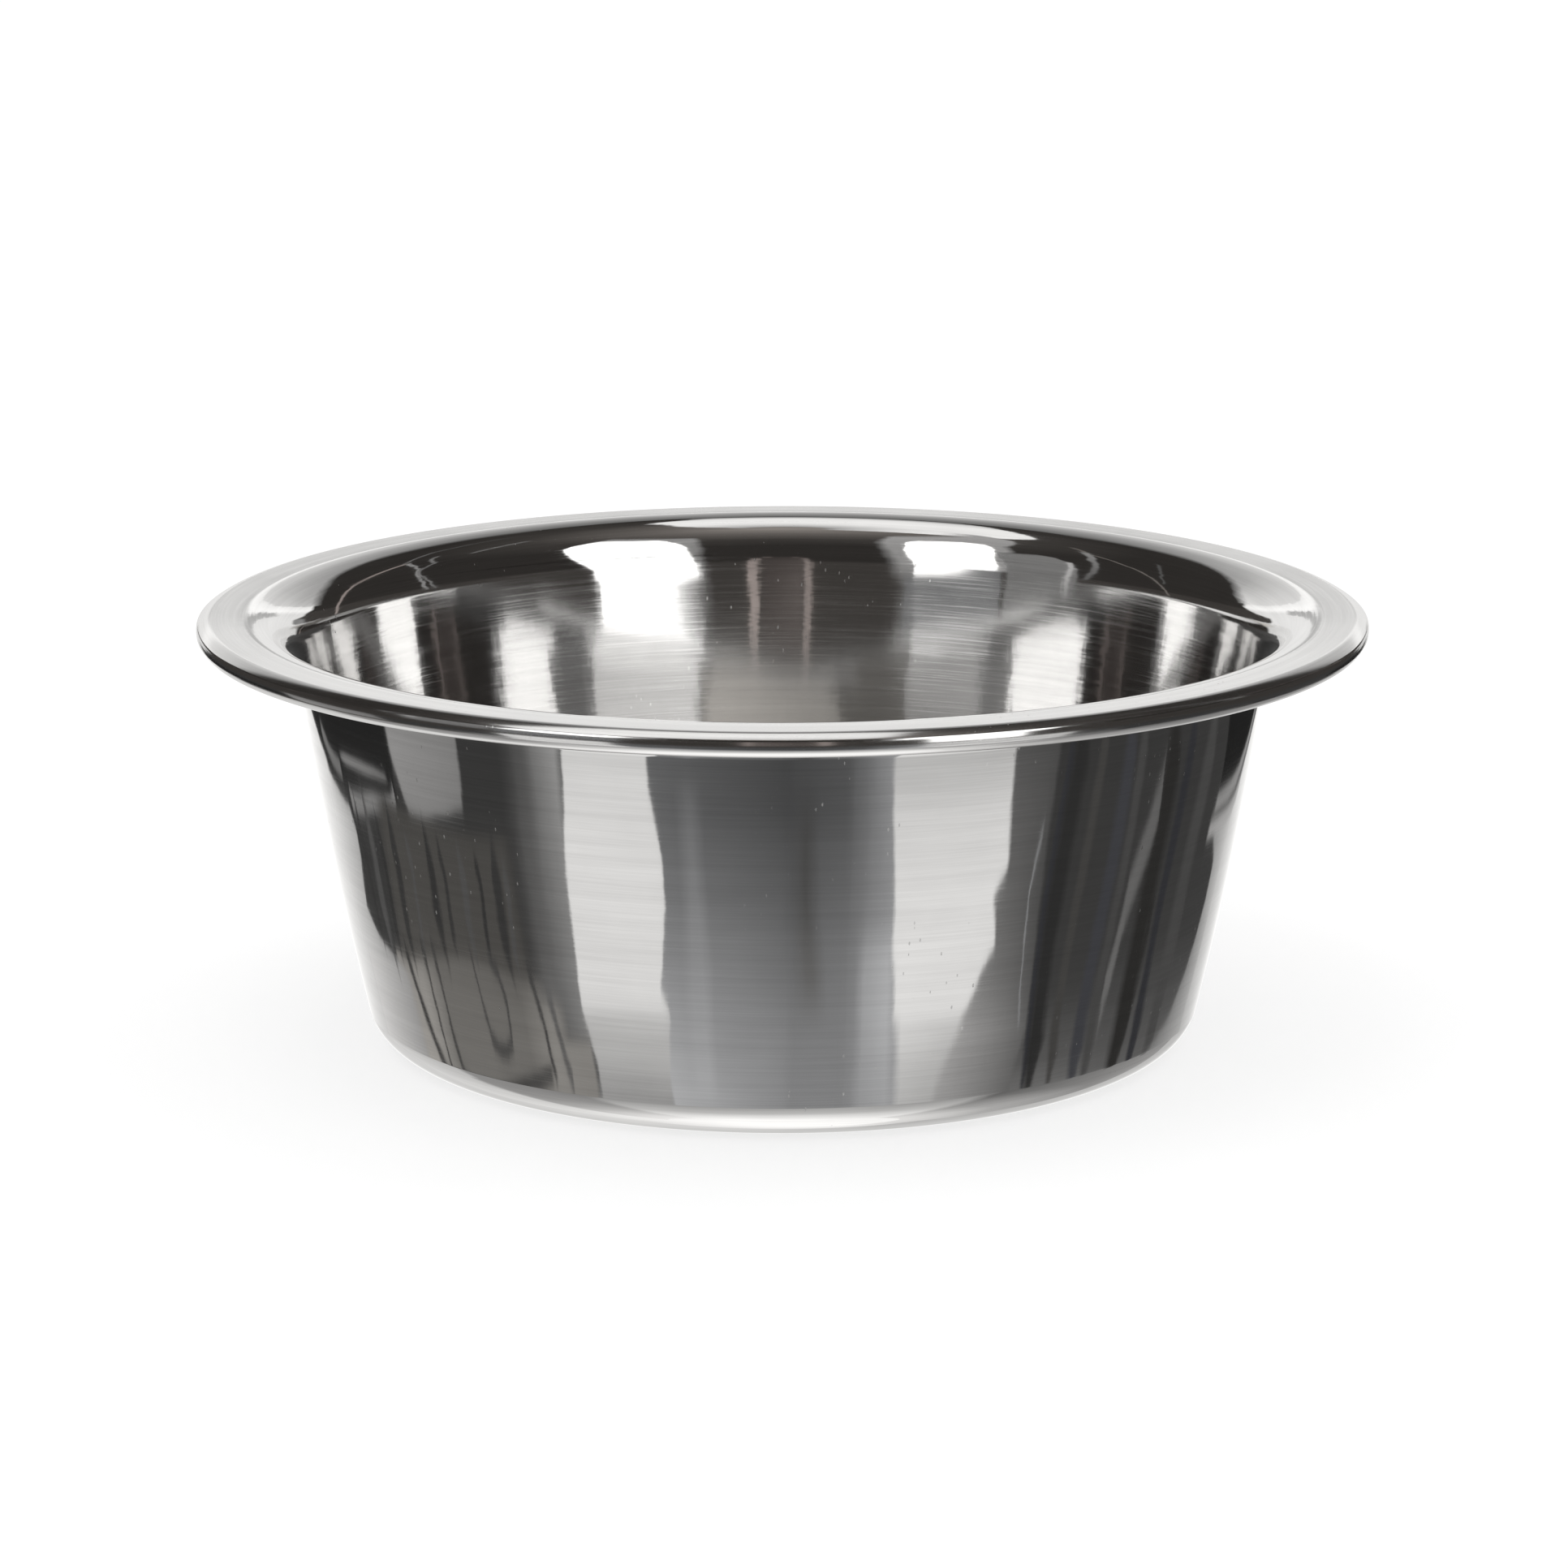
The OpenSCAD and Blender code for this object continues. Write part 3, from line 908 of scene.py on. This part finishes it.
def cards_deep():
    """What the steel shows of itself, low inside the bowl, from a ray's second reflection on."""
    deep_card("round", GREY, 0, between(-190, 190, (66, 0.4), (76, 0.6), (90, 0.65)))
    deep_card("back", SAND, 7, [(16, 140, 224, 0.42, 0.9), (28, 144, 224, 0.45, 0.9),
              (40, 148, 224, 0.5, 0.85), (80, 148, 224, 0.5, 0.8)])
    deep_card("ends", WHITE, 4, between(140, 220, (-8, 1.0), (18, 1.0)))
    deep_card("right_back", SAND, 5, [(20, 112, 153, 0.21), (25, 112, 153, 0.21), (27, 0, 153, 0.21),
              (45, 0, 150, 0.21), (62, 0, 142, 0.21), (72, 0, 128, 0.22), (78, 6, 108, 0.24),
              (82, 30, 80, 0.3)])
    deep_card("left_white", WHITE, 4, [(20, -140, -80, 0.8, 1.1), (25, -140, -80, 1.1, 1.25),
              (27.5, -139, 0, 1.3, 1.4), (34, -138, 0, 1.6, 1.5), (44, -137, 0, 1.6, 1.45),
              (60, -130, 0, 1.6, 1.5), (70, -116, 0, 1.5), (76, -98, -2, 1.3), (80, -60, -12, 1.1)])
    deep_card("right_panel", GREY, 4, [(19, 70, 119, 0.66), (24, 72, 119, 0.66), (27, 0, 119, 0.55),
              (34, 0, 118, 0.42), (52, 0, 112, 0.5), (62, 0, 101, 0.6), (69, 0, 86, 0.62),
              (74.5, 10, 58, 0.62)])
    deep_card("left_dark", GREY, 5, [(17, -82, -56, 0.28), (24, -82, -56, 0.26), (26, -81, 2, 0.24),
              (42, -79, 2, 0.22), (50, -75, 2, 0.2), (58, -67, 4, 0.2), (63, -57, 6, 0.2),
              (68, -36, 2, 0.22)])
    deep_card("right_dark", GREY, 4, [(17, 56, 78, 0.36), (24, 56, 78, 0.34), (26, -2, 77, 0.26),
              (36, -2, 75, 0.24), (45, -2, 70, 0.24), (53, -2, 61, 0.24), (60, -2, 48, 0.24),
              (67, 2, 26, 0.24)])
    deep_card("left_lamp", WHITE, 2.5, level_at(DEEP_LAMP_LEVEL, (17, -61.5, -30), (30, -60.5, -26),
              (40, -58.5, -22), (47, -54, -18), (52.5, -47, -24)))
    deep_card("right_lamp", WHITE, 2.5, level_at(DEEP_LAMP_LEVEL, (17, 20, 61.5), (30, 18, 60.5),
              (40, 16, 56), (46, 18, 50), (50.5, 24, 42)))
    deep_card("middle", GREY, 2.5, [(20, -34, 24, 0.07, 0.11), (30, -32.5, 23, 0.07, 0.1),
              (40, -27.5, 19.5, 0.07, 0.1), (47, -22, 18, 0.08, 0.1), (54, -20, 16, 0.08, 0.1),
              (60, -12, 10, 0.09, 0.1)])


def cards_third():
    """What the steel shows of itself from a ray's third reflection on."""
    for name, left, right, start, level in (("left", -150, -63, 6, 0.14), ("right", 63, 150, 6, 0.12),
                                            ("high", -64, 64, 20, 0.38)):
        rows = between(left, right, (start, level), (50, level))
        card("third_" + name, rows, high, GREY, 3, 3, THIRD_GLOW)


def build_cards():
    """The studio as the steel shows it: a pale back, a dark front, and two tall soft lamps."""
    cards_under()
    cards_behind()
    cards_left()
    cards_left_top()
    cards_left_dark()
    cards_front()
    cards_right()
    cards_right_top()
    cards_lamps()
    cards_curls()
    cards_bars()
    cards_deep()
    cards_third()


# The floor: its size, its own colour, and the white that the camera sees mixed into it
FLOOR_R = 6
FLOOR_SIDES = 96
FLOOR_COLOUR = (0.95, 0.95, 0.95, 1)
FLOOR_WHITE = 1.25
FLOOR_WHITE_SHARE = 0.55

# The world's level as light, and as it is seen
WORLD_LEVEL = 0.95
WORLD_WHITE = 1.0

# The two soft lamps: places, sizes and watts
LAMPS = (("key", (-0.8, -0.6, 2.2), 1.6, 8), ("fill", (1.2, 0.4, 1.9), 1.6, 5))


def floor_material():
    """A pale matt floor that the camera sees as white wherever no shadow falls."""
    material, tree = new_material("pale_floor")
    link = tree.links.new
    matt = node(tree, "ShaderNodeBsdfDiffuse", inputs={"Color": FLOOR_COLOUR})
    white = node(tree, "ShaderNodeEmission", inputs={"Strength": FLOOR_WHITE})
    seen = node(tree, "ShaderNodeLightPath").outputs["Is Camera Ray"]
    mix = node(tree, "ShaderNodeMixShader")
    out = node(tree, "ShaderNodeOutputMaterial")
    link(scaled(tree, seen, FLOOR_WHITE_SHARE), mix.inputs["Fac"])
    link(matt.outputs[0], mix.inputs[1])
    link(white.outputs[0], mix.inputs[2])
    link(mix.outputs[0], out.inputs["Surface"])
    return material


def build_floor():
    """A round pale floor. The steel doesn't show it: it shows the studio's cards below the horizon."""
    angles = [2 * math.pi * i / FLOOR_SIDES for i in range(FLOOR_SIDES)]
    ring = [(FLOOR_R * math.cos(angle), FLOOR_R * math.sin(angle), 0) for angle in angles]
    mesh = bpy.data.meshes.new("floor")
    mesh.from_pydata(ring, [], [tuple(range(FLOOR_SIDES))])
    mesh.materials.append(floor_material())
    floor = bpy.data.objects.new("floor", mesh)
    bpy.context.scene.collection.objects.link(floor)
    floor.visible_glossy = False


def build_world():
    """White where the camera, reflections and clear things see it, and a plain level for the rest."""
    world = bpy.data.worlds.new("studio")
    bpy.context.scene.world = world
    world.use_nodes = True
    tree = world.node_tree
    tree.nodes.clear()
    seen = node(tree, "ShaderNodeLightPath").outputs
    strength = node(tree, "ShaderNodeMix", data_type="FLOAT")
    strength.inputs["A"].default_value = WORLD_LEVEL
    strength.inputs["B"].default_value = WORLD_WHITE
    light = node(tree, "ShaderNodeBackground")
    out = node(tree, "ShaderNodeOutputWorld")
    white = product(tree, seen["Is Camera Ray"], seen["Is Glossy Ray"], "MAXIMUM")
    white = product(tree, white, seen["Is Transmission Ray"], "MAXIMUM")
    tree.links.new(white, strength.inputs["Factor"])
    tree.links.new(strength.outputs["Result"], light.inputs["Strength"])
    tree.links.new(light.outputs[0], out.inputs["Surface"])


def build_lamp(name, place, size, watts):
    """A square soft lamp that points at the bowl and doesn't show in the steel."""
    data = bpy.data.lights.new(name, "AREA")
    data.shape = "SQUARE"
    data.size = size
    data.energy = watts
    lamp = bpy.data.objects.new(name, data)
    bpy.context.scene.collection.objects.link(lamp)
    lamp.location = place
    lamp.rotation_mode = "QUATERNION"
    lamp.rotation_quaternion = (-Vector(place)).to_track_quat("-Z", "Y")
    lamp.visible_glossy = False
    lamp.visible_camera = False


def build_camera():
    """The camera, at the place and angle that the photo was taken from."""
    data = bpy.data.cameras.new("camera")
    data.sensor_width = SENSOR_MM
    data.lens = SENSOR_MM * FOCAL_PX / PHOTO_PX
    camera = bpy.data.objects.new("camera", data)
    bpy.context.scene.collection.objects.link(camera)
    turn = (
        Matrix.Rotation(math.radians(-CAMERA_YAW), 4, "Z")
        @ Matrix.Rotation(math.radians(90 - CAMERA_PITCH), 4, "X")
        @ Matrix.Rotation(math.radians(CAMERA_ROLL), 4, "Z")
    )
    camera.matrix_world = Matrix.Translation(CAMERA_PLACE) @ turn
    bpy.context.scene.camera = camera


build_camera()
bowl = build_sheet()
bowl.data.materials.append(steel_material())
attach(bowl, "root")
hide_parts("bowl")

build_floor()
build_world()
for name, place, size, watts in LAMPS:
    build_lamp(name, place, size, watts)
build_cards()
bpy.context.scene.view_settings.view_transform = "Standard"
